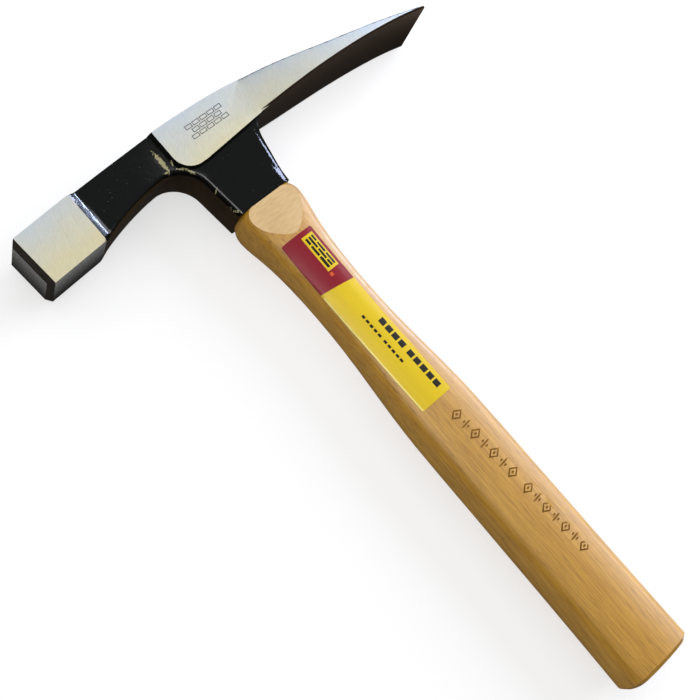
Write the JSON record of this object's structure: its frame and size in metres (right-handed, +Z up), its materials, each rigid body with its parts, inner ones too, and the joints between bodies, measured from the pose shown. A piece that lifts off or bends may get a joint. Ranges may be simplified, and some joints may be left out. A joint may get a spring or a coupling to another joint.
{
  "type": "brick hammer",
  "caption": "Brick hammer lying on its side: forged head with square poll and curved chisel blade, adze-eye socket, wedged hickory handle.",
  "frame": {"origin": "under the middle of the bounding box, on the floor the hammer's side faces", "axes": "+X along the handle from head to butt, +Y along the head from striking face to blade tip, +Z up through the thickness"},
  "size_m": [0.2804, 0.1962, 0.034],
  "materials": {
    "forged_steel": "ground bright on poll, pads and blade; glossy black paint on neck and socket",
    "hickory": "clear lacquer",
    "wedge_hardwood": "sawn flush",
    "wedge_steel": "as rolled, ground flush",
    "printed_label": "glossy printed film, red at the head end and yellow below"
  },
  "bodies": {
    "root": {"head": "forged_steel", "handle": "hickory", "wedge_wood": "wedge_hardwood", "wedge_steel_front": "wedge_steel", "wedge_steel_back": "wedge_steel", "label": "printed_label"}
  },
  "joints": []
}
